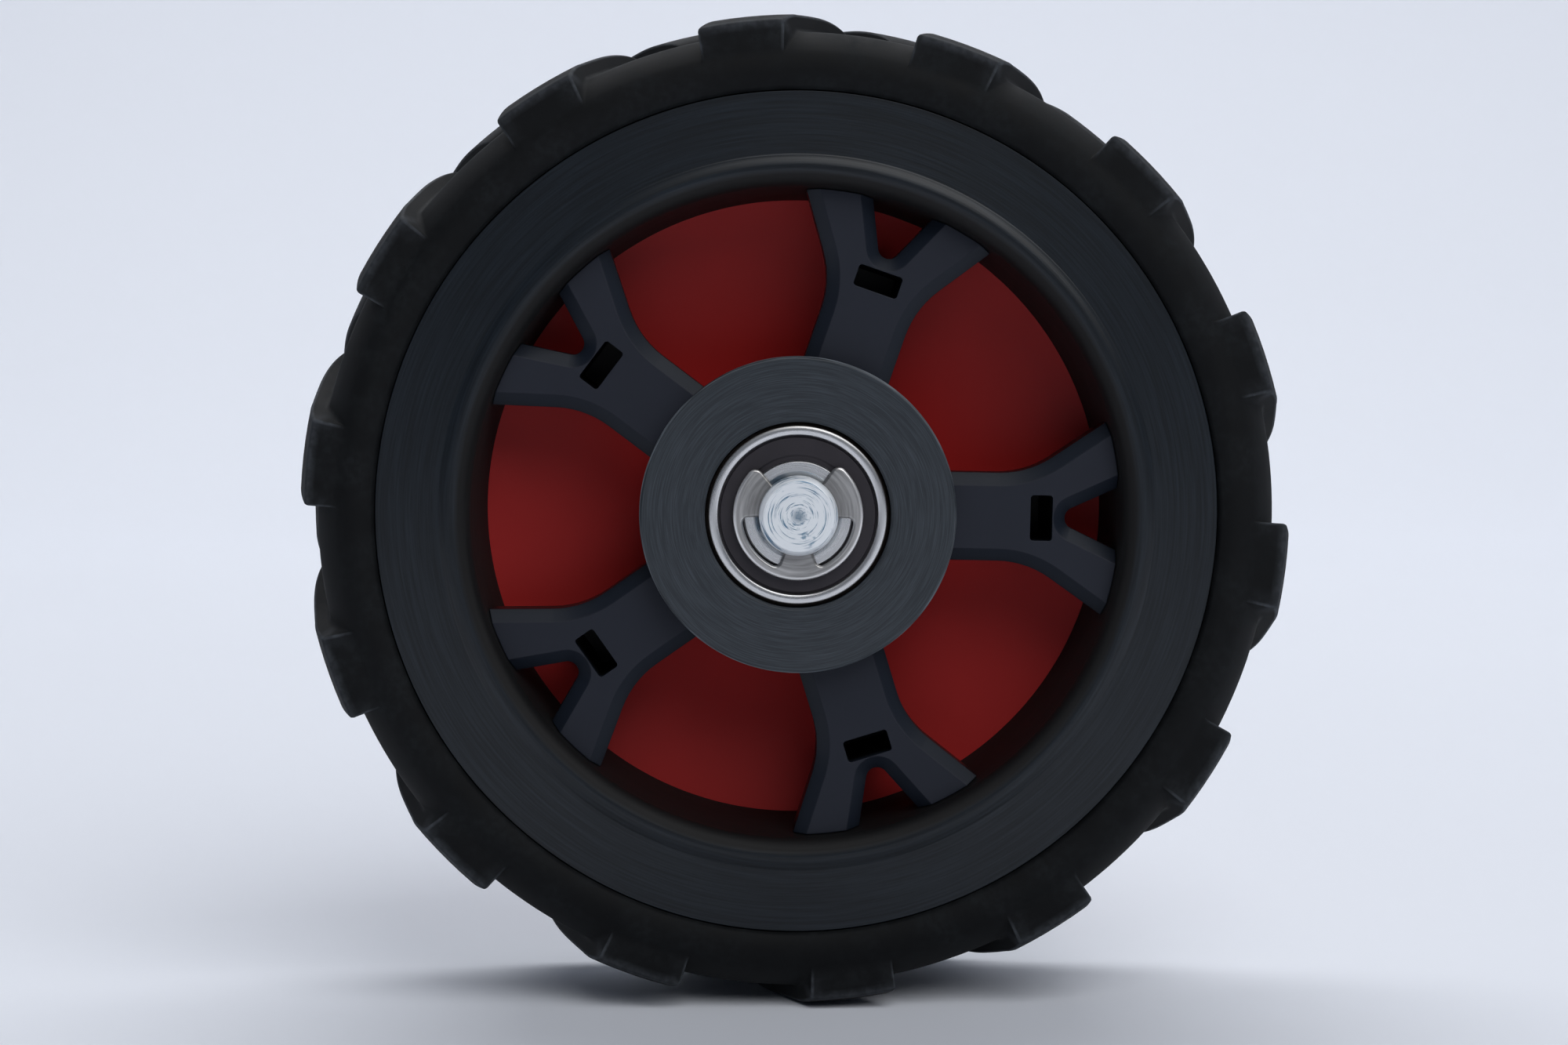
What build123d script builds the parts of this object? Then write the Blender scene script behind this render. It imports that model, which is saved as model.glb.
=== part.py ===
from build123d import *
import os
from math import cos, degrees, radians, sin, sqrt

# Wheel of a garden machine: a lugged rubber tire on a moulded rim that turns on a stub axle.
# Millimetres, +Z up, wheel upright. The spin axis is Y and the origin is the wheel's centre.
# The outboard face with the spokes looks along -Y, and the stub axle leaves along +Y.

os.makedirs("parts", exist_ok=True)

# Tire
tire_diameter = 216.0
tire_width = 58.0
tire_over_flange = 17.2  # tread crown above the edge of the rim's front flange
sidewall_face = 8.6  # height of the smooth sidewall, from the flange to the lugs' feet
sidewall_bulge = 1.4
shoulder_setback = 6.5  # how far the tread floor starts behind the sidewall
floor_drop = 0.8  # fall of the tread floor from the middle to its edge
seam = 0.25  # open line between the rubber and the edge of the flange
bead_fit = 0.05

# Lugs
lug_count = 14  # on each shoulder
lug_height = 4.9
lug_angle = 10.5  # degrees of the wheel that a lug covers at the shoulder
lug_end_angle = 8.0  # the same at its inner end
lug_swing = 10.0  # degrees that a lug turns clockwise from the shoulder to the middle
lug_lead = -0.5  # place of the first lug's leading wall, in degrees
lug_past_middle = 4.0
lug_inset = 0.7  # lug's side face behind the widest point of the sidewall, at its foot
lug_lean = 0.6  # further lean of that face up to the corner
lug_corner_drop = 2.2  # corner of the lug below the crown
lug_corner_run = 7.5  # axial length of the rounding from the corner to the crown
lug_scoop = 2.8  # radius of the fillet at the foot of the trailing wall

# Rim
flange_inset = 1.7  # front flange behind the tire's side
flange_thickness = 3.2
flange_face = 13.4  # radial width of the flat flange
flange_dish = 0.9  # rise of the flange from its edge to the lip
lip_roll = 6.9  # radial width of the rounded lip
lip_rise = 1.1  # crest of the lip in front of the flange
lip_depth = 2.6  # lip's inner edge behind the flange
barrel_wall = 3.6
rear_flange_height = 9.0
rear_flange_thickness = 3.2
pocket_draft = 2.1  # narrowing of the front pocket from the lip to the disc

# Dished disc
disc_thickness = 4.0
disc_depth = 28.0  # disc's front edge behind the hub's face
dish_radius = 372.0
disc_fit = 0.05
disc_edge_wall = 2.6
disc_edge_length = 8.0  # wall round the disc, seated in the rim's barrel
boss_wall = 6.0
boss_inset = 3.0  # disc's boss in front of the hub tube's end
rib_count = 5
rib_thickness = 3.0
rib_inset = 2.5  # rib's rear edge in front of the boss's end and of the edge wall's end

# Spoke cover
spoke_count = 5
spoke_turn = -1.2  # place of the first spoke, in degrees
spoke_thickness = 9.0
spoke_half_width = 9.6
spoke_flare = 20.6  # radius of the flare towards the rim
flare_angle = 34.6  # turn of the flare, after which the spoke's legs are straight
flare_run = 26.4  # from the start of the flare to the rim
spoke_end_gap = 0.2
bevel_width = 2.8
bevel_depth = 2.2
cover_wall = 2.4
cover_ring_width = 7.2
cover_ring_thickness = 4.4
notch_depth = 11.8  # from the spoke's end to the rounded bottom of its notch
notch_half_angle = 25.0
notch_radius = 2.4
slot_length = 9.9
slot_width = 4.8
slot_corner = 0.7
slot_to_notch = 2.9  # between the slot and the bottom of the notch
peg_wall = 1.6  # wall of the peg behind the slot
peg_past_disc = 1.5
peg_clearance = 0.2

# Hub
hub_flange_radius = 34.1
hub_flange_thickness = 6.5
hub_proud = 1.0  # hub's face in front of the tire's side
hub_edge = 0.5
hub_wall = 6.0
hub_back_inset = 6.2  # hub tube's end in front of the tire's inboard side
hub_fit = 0.05

# Bearings
bearing_bore = 17.0
bearing_diameter = 40.0
bearing_width = 12.0
bearing_recess = 0.8  # bearing behind the face of the hub
bearing_fit = 0.02
ball_count = 8
ball_diameter = 6.747
ball_circle = 28.5
ball_clearance = 0.1
outer_land = 33.4
inner_land = 24.2
seal_seat = 34.4
seal_track = 23.0
seal_recess = 0.6
seal_thickness = 1.0
seal_clearance = 0.2
ring_chamfer = 0.9
cage_width = 5.2
cage_lead = 1.6  # cage ahead of the balls' centres
cage_clearance = 0.6

# Axle
axle_end_chamfer = 1.0
axle_end = 3.5  # axle's end in front of the clip
collar_diameter = 23.0
collar_width = 5.0
pin_length = 32.0
sleeve_diameter = 22.0

# E-clip
clip_diameter = 28.0
clip_thickness = 1.5
clip_groove_diameter = 15.0
clip_band = 2.0  # radial width of the thin back of the clip
clip_mouth_angles = (53.0, 130.0)  # degrees, open towards +Z
clip_window_angles = ((182.0, 249.0), (291.0, 356.5))
clip_rounding = 1.1
clip_edge = 0.3
clip_clearance = 0.05

# Radii from the tread inwards
tire_r = tire_diameter / 2
floor_r = tire_r - lug_height
floor_edge_r = floor_r - floor_drop
flange_r = tire_r - tire_over_flange
lug_foot_r = flange_r + sidewall_face
lug_corner_r = tire_r - lug_corner_drop
lip_line_r = flange_r - flange_face
lip_r = lip_line_r - lip_roll
bead_r = lip_r + barrel_wall
rear_flange_r = bead_r + rear_flange_height
pocket_r = lip_r - pocket_draft
bearing_r = bearing_diameter / 2
axle_r = bearing_bore / 2
seat_r = bearing_r + bearing_fit
hub_r = bearing_r + hub_wall
cover_bore_r = hub_r + hub_fit
boss_r = cover_bore_r + boss_wall
disc_r = lip_r - disc_fit
disc_edge_r = disc_r - disc_edge_wall

# Places along the axle, from the outboard side inwards
half_width = tire_width / 2
hub_face_y = -half_width - hub_proud
spoke_front_y = hub_face_y + hub_flange_thickness
spoke_back_y = spoke_front_y + spoke_thickness
cover_ring_back_y = spoke_front_y + cover_ring_thickness
flange_front_y = -half_width + flange_inset
flange_back_y = flange_front_y + flange_thickness
lip_edge_y = flange_front_y + lip_depth
disc_edge_y = hub_face_y + disc_depth
disc_back_y = disc_edge_y + disc_edge_length
rear_flange_back_y = half_width - flange_inset
rear_flange_front_y = rear_flange_back_y - rear_flange_thickness
hub_back_y = half_width - hub_back_inset
boss_back_y = hub_back_y - boss_inset
outboard_bearing_y = hub_face_y + bearing_recess
inboard_bearing_y = hub_back_y - bearing_recess - bearing_width


def facing(y):
    """Plane square to the axle at y, looking outboard, with +X right and +Z up."""
    return Plane.XZ.offset(-y)


def polar(radius, angle):
    """Point at a radius and an angle, anticlockwise from +X as seen from outboard."""
    return (radius * cos(radians(angle)), radius * sin(radians(angle)))


def round_axle(count, start=0.0):
    """Evenly spaced turns about the axle, anticlockwise as seen from outboard."""
    turns = [start + 360 / count * k for k in range(count)]
    return [Location((0, 0, 0), (0, -turn, 0)) for turn in turns]


def dish_y(radius, behind=0.0):
    """Axial place of the dished disc's face at a radius, or of a surface behind it."""
    edge = sqrt(dish_radius**2 - pocket_r**2)
    return disc_edge_y + sqrt(dish_radius**2 - radius**2) - edge + behind


def dish_points(outer, inner, behind):
    """Three points of a dished surface's section, from its outer to its inner radius."""
    middle = (outer + inner) / 2
    return [(radius, dish_y(radius, behind)) for radius in (outer, middle, inner)]


# One lug, from the outboard shoulder to just past the middle plane
lug_start_y = -half_width - lug_inset
lug_stop_y = lug_past_middle
lug_root_r = lug_foot_r - 2 * lug_inset - lug_lean
lug_top_r = tire_r + lug_corner_drop
scoop_top_r = floor_edge_r + lug_scoop
scoop_angle = degrees(lug_scoop / floor_edge_r)
scoop_share = sin(radians(45))

with BuildPart() as lug:
    for y, width in ((lug_start_y, lug_angle), (lug_stop_y, lug_end_angle)):
        lead = -lug_swing * (y + half_width) / half_width
        trail = lead - width
        scoop_mid = polar(scoop_top_r - lug_scoop * scoop_share, trail - scoop_angle * (1 - scoop_share))
        with BuildSketch(facing(y)):
            with BuildLine():
                walls = Polyline(
                    polar(lug_root_r, trail - scoop_angle),
                    polar(lug_root_r, lead),
                    polar(lug_top_r, lead),
                    polar(lug_top_r, trail),
                    polar(scoop_top_r, trail),
                )
                scoop = ThreePointArc(walls @ 1, scoop_mid, polar(floor_edge_r, trail - scoop_angle))
                Line(scoop @ 1, walls @ 0)
            make_face()
    loft(ruled=True)
    # Keep what lies under the lugs' common side faces, rounded corners and crown
    with BuildSketch(Plane.XY):
        with BuildLine():
            corner_y = half_width - lug_inset - lug_lean
            crown_y = corner_y - lug_corner_run
            crown_r = tire_r - lug_corner_drop / 4
            side = Line((flange_r, -half_width + lug_inset), (lug_corner_r, -corner_y))
            rounding_mid = (crown_r - lug_corner_drop / 4, -corner_y + lug_corner_run / 2.6)
            rounding = ThreePointArc(side @ 1, rounding_mid, (crown_r, -crown_y))
            crown = ThreePointArc(rounding @ 1, (tire_r, 0), (crown_r, crown_y))
            Polyline(crown @ 1, (flange_r, crown_y), side @ 0)
        make_face()
    revolve(axis=Axis.Y, mode=Mode.INTERSECT)

far_lug = mirror(lug.part, about=Plane.XZ)

# Rubber tire: carcass between the rim's flanges, with lugs staggered on the two shoulders
with BuildPart() as tire:
    with BuildSketch(Plane.XY):
        with BuildLine():
            rim_edge_y = half_width - sidewall_bulge
            sidewall_start = (flange_r + seam, -rim_edge_y)
            sidewall_mid = ((flange_r + seam + lug_foot_r) / 2, -half_width)
            front_sidewall = ThreePointArc(sidewall_start, sidewall_mid, (lug_foot_r, -rim_edge_y))
            floor_y = half_width - shoulder_setback
            front_shoulder = TangentArc(
                front_sidewall @ 1, (floor_edge_r, -floor_y), tangent=front_sidewall % 1
            )
            ThreePointArc(front_shoulder @ 1, (floor_r, 0), (floor_edge_r, floor_y))
            rear_mid = (sidewall_mid[0], half_width)
            rear_sidewall = ThreePointArc((flange_r + seam, rim_edge_y), rear_mid, (lug_foot_r, rim_edge_y))
            TangentArc(rear_sidewall @ 1, (floor_edge_r, floor_y), tangent=rear_sidewall % 1)
            Polyline(
                rear_sidewall @ 0,
                (rear_flange_r + bead_fit, rear_flange_back_y),
                (rear_flange_r + bead_fit, rear_flange_front_y - bead_fit),
                (bead_r + bead_fit, rear_flange_front_y - bead_fit),
                (bead_r + bead_fit, flange_back_y + bead_fit),
                (flange_r + seam, flange_back_y + bead_fit),
                front_sidewall @ 0,
            )
        make_face()
    revolve(axis=Axis.Y)
    with Locations(*round_axle(lug_count, lug_lead)):
        add(lug.part)
    with Locations(*round_axle(lug_count, lug_lead + 180 / lug_count)):
        add(far_lug)

# Spoke cover: one arm first, pointing along +X
pocket_slope = pocket_draft / (disc_edge_y - lip_edge_y)
spoke_end_r = lip_r - pocket_slope * (spoke_front_y - lip_edge_y) - spoke_end_gap
spoke_back_end_r = spoke_end_r - pocket_slope * spoke_thickness
flare_x = spoke_end_r - flare_run
notch_x = spoke_end_r - notch_depth
notch_point_x = notch_x - notch_radius * (1 / sin(radians(notch_half_angle)) - 1)
slot_x = notch_x - slot_to_notch - slot_width / 2
peg_end_y = dish_y(slot_x, disc_thickness) + peg_past_disc

with BuildSketch() as arm_outline:
    with BuildLine():
        edge = Line((cover_bore_r + hub_fit, spoke_half_width), (flare_x, spoke_half_width))
        flare = CenterArc((flare_x, spoke_half_width + spoke_flare), spoke_flare, -90, flare_angle)
        leg = Line(flare @ 1, flare @ 1 + flare % 1 * flare_run)
        Polyline(leg @ 1, ((leg @ 1).X, 0), ((edge @ 0).X, 0), edge @ 0)
    make_face()
    mirror(about=Plane.XZ)
    Circle(spoke_end_r, mode=Mode.INTERSECT)

with BuildSketch() as notch_outline:
    notch_reach = spoke_end_r - notch_point_x
    notch_half = notch_reach * sin(radians(notch_half_angle)) / cos(radians(notch_half_angle))
    Polygon((notch_point_x, 0), (spoke_end_r, -notch_half), (spoke_end_r, notch_half), align=None)
    fillet(notch_outline.vertices().sort_by(Axis.X)[0], notch_radius)

with BuildPart() as arm:
    with BuildSketch(facing(spoke_back_y)):
        add(arm_outline.sketch)
        add(notch_outline.sketch, mode=Mode.SUBTRACT)
    extrude(amount=spoke_thickness)
    # Taper the end with the draft of the rim's pocket
    with BuildSketch(Plane.XY):
        Polygon(
            (0, spoke_front_y),
            (spoke_end_r, spoke_front_y),
            (spoke_back_end_r, spoke_back_y),
            (0, spoke_back_y),
            align=None,
        )
    revolve(axis=Axis.Y, mode=Mode.INTERSECT)
    # Bevel every edge of the front face except those at the hub and at the rim
    front = arm.faces().sort_by(Axis.Y)[0]
    rim_edges = front.edges().filter_by(GeomType.CIRCLE).filter_by(lambda e: e.radius > 2 * spoke_flare)
    root_edge = front.edges().sort_by(Axis.X)[:1]
    chamfer(front.edges() - rim_edges - root_edge, bevel_width, bevel_depth, reference=front)
    # Hollow the arm from behind
    with BuildSketch(facing(spoke_back_y)):
        add(arm_outline.sketch)
        add(notch_outline.sketch, mode=Mode.SUBTRACT)
        offset(amount=-cover_wall - bevel_width, kind=Kind.INTERSECTION, mode=Mode.REPLACE)
    extrude(amount=spoke_thickness - cover_wall, mode=Mode.SUBTRACT)
    # Peg that keys the arm in the disc, cored out through the slot in the front face
    with BuildSketch(facing(peg_end_y)):
        with Locations((slot_x, 0)):
            RectangleRounded(slot_width + 2 * peg_wall, slot_length + 2 * peg_wall, slot_corner)
    extrude(amount=peg_end_y - spoke_front_y - cover_wall / 2)
    with BuildSketch(facing(peg_end_y - peg_wall)):
        with Locations((slot_x, 0)):
            RectangleRounded(slot_width, slot_length, slot_corner)
    extrude(amount=peg_end_y - peg_wall - spoke_front_y, mode=Mode.SUBTRACT)

with BuildPart() as spoke_cover:
    with BuildSketch(facing(cover_ring_back_y)):
        Circle(cover_bore_r + cover_ring_width)
    extrude(amount=cover_ring_thickness)
    with Locations(*round_axle(spoke_count, spoke_turn)):
        add(arm.part)
    # Bore over the hub tube, and the seat on the disc's boss behind it
    with BuildSketch(facing(spoke_back_y)):
        Circle(cover_bore_r)
    extrude(amount=spoke_thickness, mode=Mode.SUBTRACT)
    with BuildSketch(facing(spoke_back_y)):
        Circle(boss_r + hub_fit)
    extrude(amount=spoke_back_y - cover_ring_back_y, mode=Mode.SUBTRACT)

# One rib behind the disc, from its boss to its edge wall, along +X
rib_root_r = boss_r - boss_wall / 2
rib_tip_r = disc_edge_r + disc_edge_wall / 2

with BuildPart() as rib:
    with BuildSketch(Plane.XY):
        Polygon(
            (rib_root_r, dish_y(rib_root_r, disc_thickness / 2)),
            (rib_root_r, boss_back_y - rib_inset),
            (rib_tip_r, disc_back_y - rib_inset),
            (rib_tip_r, dish_y(rib_tip_r, disc_thickness / 2)),
            align=None,
        )
    extrude(amount=rib_thickness / 2, both=True)

# Dished disc: one moulding with its boss on the hub tube, five ribs and a wall in the rim's barrel
window_rim = 2 * (peg_wall + peg_clearance)
peg_window = (slot_width + window_rim, slot_length + window_rim)

with BuildPart() as dish_disc:
    with BuildSketch(Plane.XY):
        with BuildLine():
            disc_front = ThreePointArc(*dish_points(pocket_r, boss_r, 0))
            disc_rear = ThreePointArc(*dish_points(disc_edge_r, boss_r, disc_thickness))
            Polyline(
                disc_front @ 1,
                (boss_r, cover_ring_back_y),
                (cover_bore_r, cover_ring_back_y),
                (cover_bore_r, boss_back_y),
                (boss_r, boss_back_y),
                disc_rear @ 1,
            )
            Polyline(
                disc_rear @ 0,
                (disc_edge_r, disc_back_y),
                (disc_r, disc_back_y),
                (disc_r, disc_edge_y),
                disc_front @ 0,
            )
        make_face()
    revolve(axis=Axis.Y)
    with Locations(*round_axle(rib_count, spoke_turn + 180 / spoke_count)):
        add(rib.part)
    # Windows for the cover's pegs
    with BuildSketch(facing(boss_back_y)):
        with PolarLocations(slot_x, spoke_count, start_angle=spoke_turn):
            RectangleRounded(*peg_window, slot_corner)
    extrude(amount=boss_back_y - spoke_back_y, mode=Mode.SUBTRACT)

# Rim: flange, rounded lip and barrel in one moulding, with a step that stops the disc
with BuildPart() as rim:
    with BuildSketch(Plane.XY):
        with BuildLine():
            flange = Polyline(
                (bead_r, flange_back_y),
                (flange_r, flange_back_y),
                (flange_r, flange_front_y),
                (lip_line_r, flange_front_y - flange_dish),
            )
            lip_crest = (lip_line_r - lip_roll / 2, flange_front_y - flange_dish - lip_rise)
            lip = ThreePointArc(flange @ 1, lip_crest, (lip_r, lip_edge_y))
            Polyline(
                lip @ 1,
                (pocket_r, disc_edge_y),
                (lip_r, disc_edge_y),
                (lip_r, rear_flange_back_y),
                (rear_flange_r, rear_flange_back_y),
                (rear_flange_r, rear_flange_front_y),
                (bead_r, rear_flange_front_y),
                flange @ 0,
            )
        make_face()
    revolve(axis=Axis.Y)

# Hub: front flange over the spokes' roots, and the tube with the two bearing seats
abutment_r = (bearing_r + outer_land / 2) / 2

with BuildPart() as hub:
    with BuildSketch(Plane.XY):
        Polygon(
            (seat_r, hub_face_y + hub_edge),
            (seat_r + hub_edge, hub_face_y),
            (hub_flange_radius - hub_edge, hub_face_y),
            (hub_flange_radius, hub_face_y + hub_edge),
            (hub_flange_radius, spoke_front_y),
            (hub_r, spoke_front_y),
            (hub_r, hub_back_y - hub_edge),
            (hub_r - hub_edge, hub_back_y),
            (seat_r + hub_edge, hub_back_y),
            (seat_r, hub_back_y - hub_edge),
            (seat_r, inboard_bearing_y),
            (abutment_r, inboard_bearing_y),
            (abutment_r, outboard_bearing_y + bearing_width),
            (seat_r, outboard_bearing_y + bearing_width),
            align=None,
        )
    revolve(axis=Axis.Y)

for piece, name in (
    (tire, "tire"),
    (rim, "rim"),
    (dish_disc, "dish_disc"),
    (spoke_cover, "spoke_cover"),
    (hub, "hub"),
):
    piece.part.label = name
    export_step(piece.part, f"parts/{name}.step")

# Two sealed ball bearings
ball_r = ball_diameter / 2
ball_circle_r = ball_circle / 2
groove_r = ball_r + ball_clearance
seal_pocket = seal_recess + seal_thickness

for place, face_y in (("outboard", outboard_bearing_y), ("inboard", inboard_bearing_y)):
    centre_y = face_y + bearing_width / 2
    section = Plane((0, centre_y, 0))
    half_bearing = bearing_width / 2

    with BuildPart() as outer_ring:
        with BuildSketch(section) as ring_section:
            with Locations(((outer_land / 2 + bearing_r) / 2, 0)):
                Rectangle(bearing_r - outer_land / 2, bearing_width)
            chamfer(ring_section.vertices().group_by(Axis.X)[-1], ring_chamfer)
            with GridLocations(0, bearing_width - seal_pocket, 1, 2):
                with Locations((outer_land / 2, 0)):
                    Rectangle(seal_seat - outer_land, seal_pocket, mode=Mode.SUBTRACT)
            with Locations((ball_circle_r, 0)):
                Circle(groove_r, mode=Mode.SUBTRACT)
        revolve(axis=Axis.Y)

    with BuildPart() as inner_ring:
        with BuildSketch(section) as ring_section:
            with Locations(((axle_r + bearing_fit + inner_land / 2) / 2, 0)):
                Rectangle(inner_land / 2 - axle_r - bearing_fit, bearing_width)
            chamfer(ring_section.vertices().group_by(Axis.X)[0], ring_chamfer)
            with GridLocations(0, bearing_width - seal_pocket, 1, 2):
                with Locations((inner_land / 2, 0)):
                    Rectangle(inner_land - seal_track, seal_pocket, mode=Mode.SUBTRACT)
            with Locations((ball_circle_r, 0)):
                Circle(groove_r, mode=Mode.SUBTRACT)
        revolve(axis=Axis.Y)

    with BuildPart() as balls:
        with Locations(*round_axle(ball_count)):
            with Locations((ball_circle_r, centre_y, 0)):
                Sphere(ball_r)

    with BuildPart() as cage:
        with BuildSketch(facing(centre_y + cage_width - cage_lead)):
            Circle(outer_land / 2 - cage_clearance)
            Circle(inner_land / 2 + cage_clearance, mode=Mode.SUBTRACT)
        extrude(amount=cage_width)
        with Locations(*round_axle(ball_count)):
            with Locations((ball_circle_r, centre_y, 0)):
                Sphere(ball_r + ball_clearance, rotation=(90, 0, 0), mode=Mode.SUBTRACT)

    pieces = [(outer_ring, "outer_ring"), (inner_ring, "inner_ring"), (balls, "balls"), (cage, "cage")]

    seal_y = half_bearing - seal_recess - seal_thickness / 2
    for end, along in (("front", -seal_y), ("rear", seal_y)):
        with BuildPart() as seal:
            with BuildSketch(section):
                inner_edge = seal_track / 2 + seal_clearance
                outer_edge = seal_seat / 2 - bearing_fit
                with Locations(((inner_edge + outer_edge) / 2, along)):
                    Rectangle(outer_edge - inner_edge, seal_thickness - bearing_fit)
            revolve(axis=Axis.Y)
        pieces.append((seal, f"{end}_seal"))

    for piece, name in pieces:
        piece.part.label = f"{place}_bearing_{name}"
        export_step(piece.part, f"parts/{place}_bearing_{name}.step")

# Stub axle with a groove for the clip, a collar and the end that is fixed in the machine
clip_back_y = outboard_bearing_y
clip_front_y = clip_back_y - clip_thickness
axle_front_y = clip_front_y - axle_end
groove_radius = clip_groove_diameter / 2
collar_r = collar_diameter / 2
collar_front_y = inboard_bearing_y + bearing_width
collar_back_y = collar_front_y + collar_width
pin_end_y = collar_back_y + pin_length

with BuildPart() as axle:
    with BuildSketch(Plane.XY):
        Polygon(
            (0, axle_front_y),
            (axle_r - axle_end_chamfer, axle_front_y),
            (axle_r, axle_front_y + axle_end_chamfer),
            (axle_r, clip_front_y - clip_clearance),
            (groove_radius, clip_front_y - clip_clearance),
            (groove_radius, clip_back_y),
            (axle_r, clip_back_y),
            (axle_r, collar_front_y),
            (collar_r, collar_front_y),
            (collar_r, collar_back_y),
            (axle_r, collar_back_y),
            (axle_r, pin_end_y - axle_end_chamfer),
            (axle_r - axle_end_chamfer, pin_end_y),
            (0, pin_end_y),
            align=None,
        )
    revolve(axis=Axis.Y)

# Steel tube that keeps the two inner rings apart
with BuildPart() as spacer_sleeve:
    with BuildSketch(facing(inboard_bearing_y)):
        Circle(sleeve_diameter / 2)
        Circle(axle_r + bearing_fit, mode=Mode.SUBTRACT)
    extrude(amount=inboard_bearing_y - outboard_bearing_y - bearing_width)

# E-clip: a band with three prongs that reach into the axle's groove
clip_r = clip_diameter / 2
clip_bore_r = groove_radius + clip_clearance
window_r = clip_r - clip_band

with BuildPart() as e_clip:
    with BuildSketch(facing(clip_back_y)) as clip_outline:
        Circle(clip_r)
        Circle(clip_bore_r, mode=Mode.SUBTRACT)
        for start, stop in clip_window_angles:
            with BuildLine():
                arc = CenterArc((0, 0), window_r, start, stop - start)
                Polyline(arc @ 1, (0, 0), arc @ 0)
            make_face(mode=Mode.SUBTRACT)
        with BuildLine():
            start, stop = clip_mouth_angles
            mouth = CenterArc((0, 0), clip_diameter, start, stop - start)
            Polyline(mouth @ 1, (0, 0), mouth @ 0)
        make_face(mode=Mode.SUBTRACT)
        fillet(clip_outline.vertices(), clip_rounding)
    extrude(amount=clip_thickness)
    chamfer(e_clip.faces().sort_by(Axis.Y)[0].edges(), clip_edge)

for piece, name in ((axle, "axle"), (spacer_sleeve, "spacer_sleeve"), (e_clip, "e_clip")):
    piece.part.label = name
    export_step(piece.part, f"parts/{name}.step")
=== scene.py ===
import bmesh
import bpy
import numpy as np
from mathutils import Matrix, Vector


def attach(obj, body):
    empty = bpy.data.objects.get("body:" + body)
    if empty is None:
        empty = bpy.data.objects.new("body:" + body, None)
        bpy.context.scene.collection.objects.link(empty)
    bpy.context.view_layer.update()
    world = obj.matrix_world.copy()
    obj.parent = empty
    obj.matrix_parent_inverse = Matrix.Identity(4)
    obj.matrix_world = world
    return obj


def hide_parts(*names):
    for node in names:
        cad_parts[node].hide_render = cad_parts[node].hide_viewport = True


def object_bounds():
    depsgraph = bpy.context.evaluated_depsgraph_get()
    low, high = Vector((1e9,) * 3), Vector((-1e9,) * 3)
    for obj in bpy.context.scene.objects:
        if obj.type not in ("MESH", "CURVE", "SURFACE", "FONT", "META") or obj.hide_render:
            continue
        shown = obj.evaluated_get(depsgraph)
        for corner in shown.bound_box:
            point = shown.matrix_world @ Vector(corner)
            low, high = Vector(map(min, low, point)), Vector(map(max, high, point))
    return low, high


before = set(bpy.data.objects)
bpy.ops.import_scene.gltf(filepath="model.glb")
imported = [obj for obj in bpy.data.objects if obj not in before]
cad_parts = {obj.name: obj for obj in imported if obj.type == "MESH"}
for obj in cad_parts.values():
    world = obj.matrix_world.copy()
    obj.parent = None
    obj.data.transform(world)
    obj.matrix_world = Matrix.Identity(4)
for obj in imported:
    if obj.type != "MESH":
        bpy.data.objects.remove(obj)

cad_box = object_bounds()

# Stub axle: a steel pin turned in one piece with its collar and its groove for the clip, then zinc
# plated, so that a blue-white skin lies over the lathe's rings. Its far end is fixed in the machine.
mm = 0.001


def rounded(corners, steps=5):
    """Section with rounded corners. A corner is (radius, place along the axle, rounding). Its two
    sides stop at rounding / tan(h), where h is half the angle between them, and the arc that joins
    them is the rational quadratic curve about the corner with the weight sin(h)."""
    corners = np.array(corners, float)
    corner = corners[:, :2]
    back = np.roll(corner, 1, axis=0) - corner
    ahead = np.roll(corner, -1, axis=0) - corner
    back /= np.linalg.norm(back, axis=1, keepdims=True)
    ahead /= np.linalg.norm(ahead, axis=1, keepdims=True)
    half = np.arccos(np.clip((back * ahead).sum(axis=1), -1, 1)) / 2
    reach = (corners[:, 2] / np.tan(half))[:, None, None]
    s = np.linspace(0, 1, steps + 1)[None, :, None]
    weights = ((1 - s) ** 2, 2 * s * (1 - s) * np.sin(half)[:, None, None], s**2)
    middle = corner[:, None]
    ends = (middle + reach * back[:, None], middle, middle + reach * ahead[:, None])
    points = sum(w * p for w, p in zip(weights, ends)) / sum(weights)
    points = points.reshape(-1, 2)
    apart = np.linalg.norm(points - np.roll(points, 1, axis=0), axis=1) > 1e-6
    return points[apart]


def skin(name, grid, closed=True, ends=False):
    """Mesh over a grid of points: a row for each point of the section and a column for each turn.
    Each cell is a quad, columns join round the axle, a closed section joins its last row to its
    first, and points that fall together, as at a pole, are merged. Ends are flat faces that fill the
    first row and the last."""
    rows, columns = grid.shape[:2]
    place = np.arange(rows * columns).reshape(rows, columns)
    if closed:
        place = np.vstack((place, place[:1]))
    near, far = place[:-1], place[1:]
    quads = np.stack((near, far, np.roll(far, -1, axis=1), np.roll(near, -1, axis=1)), axis=-1)
    faces = quads.reshape(-1, 4).tolist()
    if ends:
        faces += [place[0].tolist(), place[-1].tolist()]
    mesh = bpy.data.meshes.new(name)
    mesh.from_pydata(grid.reshape(-1, 3).tolist(), [], faces)
    work = bmesh.new()
    work.from_mesh(mesh)
    bmesh.ops.remove_doubles(work, verts=work.verts, dist=1e-8)
    bmesh.ops.recalc_face_normals(work, faces=work.faces)
    work.to_mesh(mesh)
    work.free()
    mesh.shade_smooth()
    piece = bpy.data.objects.new(name, mesh)
    bpy.context.scene.collection.objects.link(piece)
    even = piece.modifiers.new("Even shading", "WEIGHTED_NORMAL")
    even.weight = 100
    return piece


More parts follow.
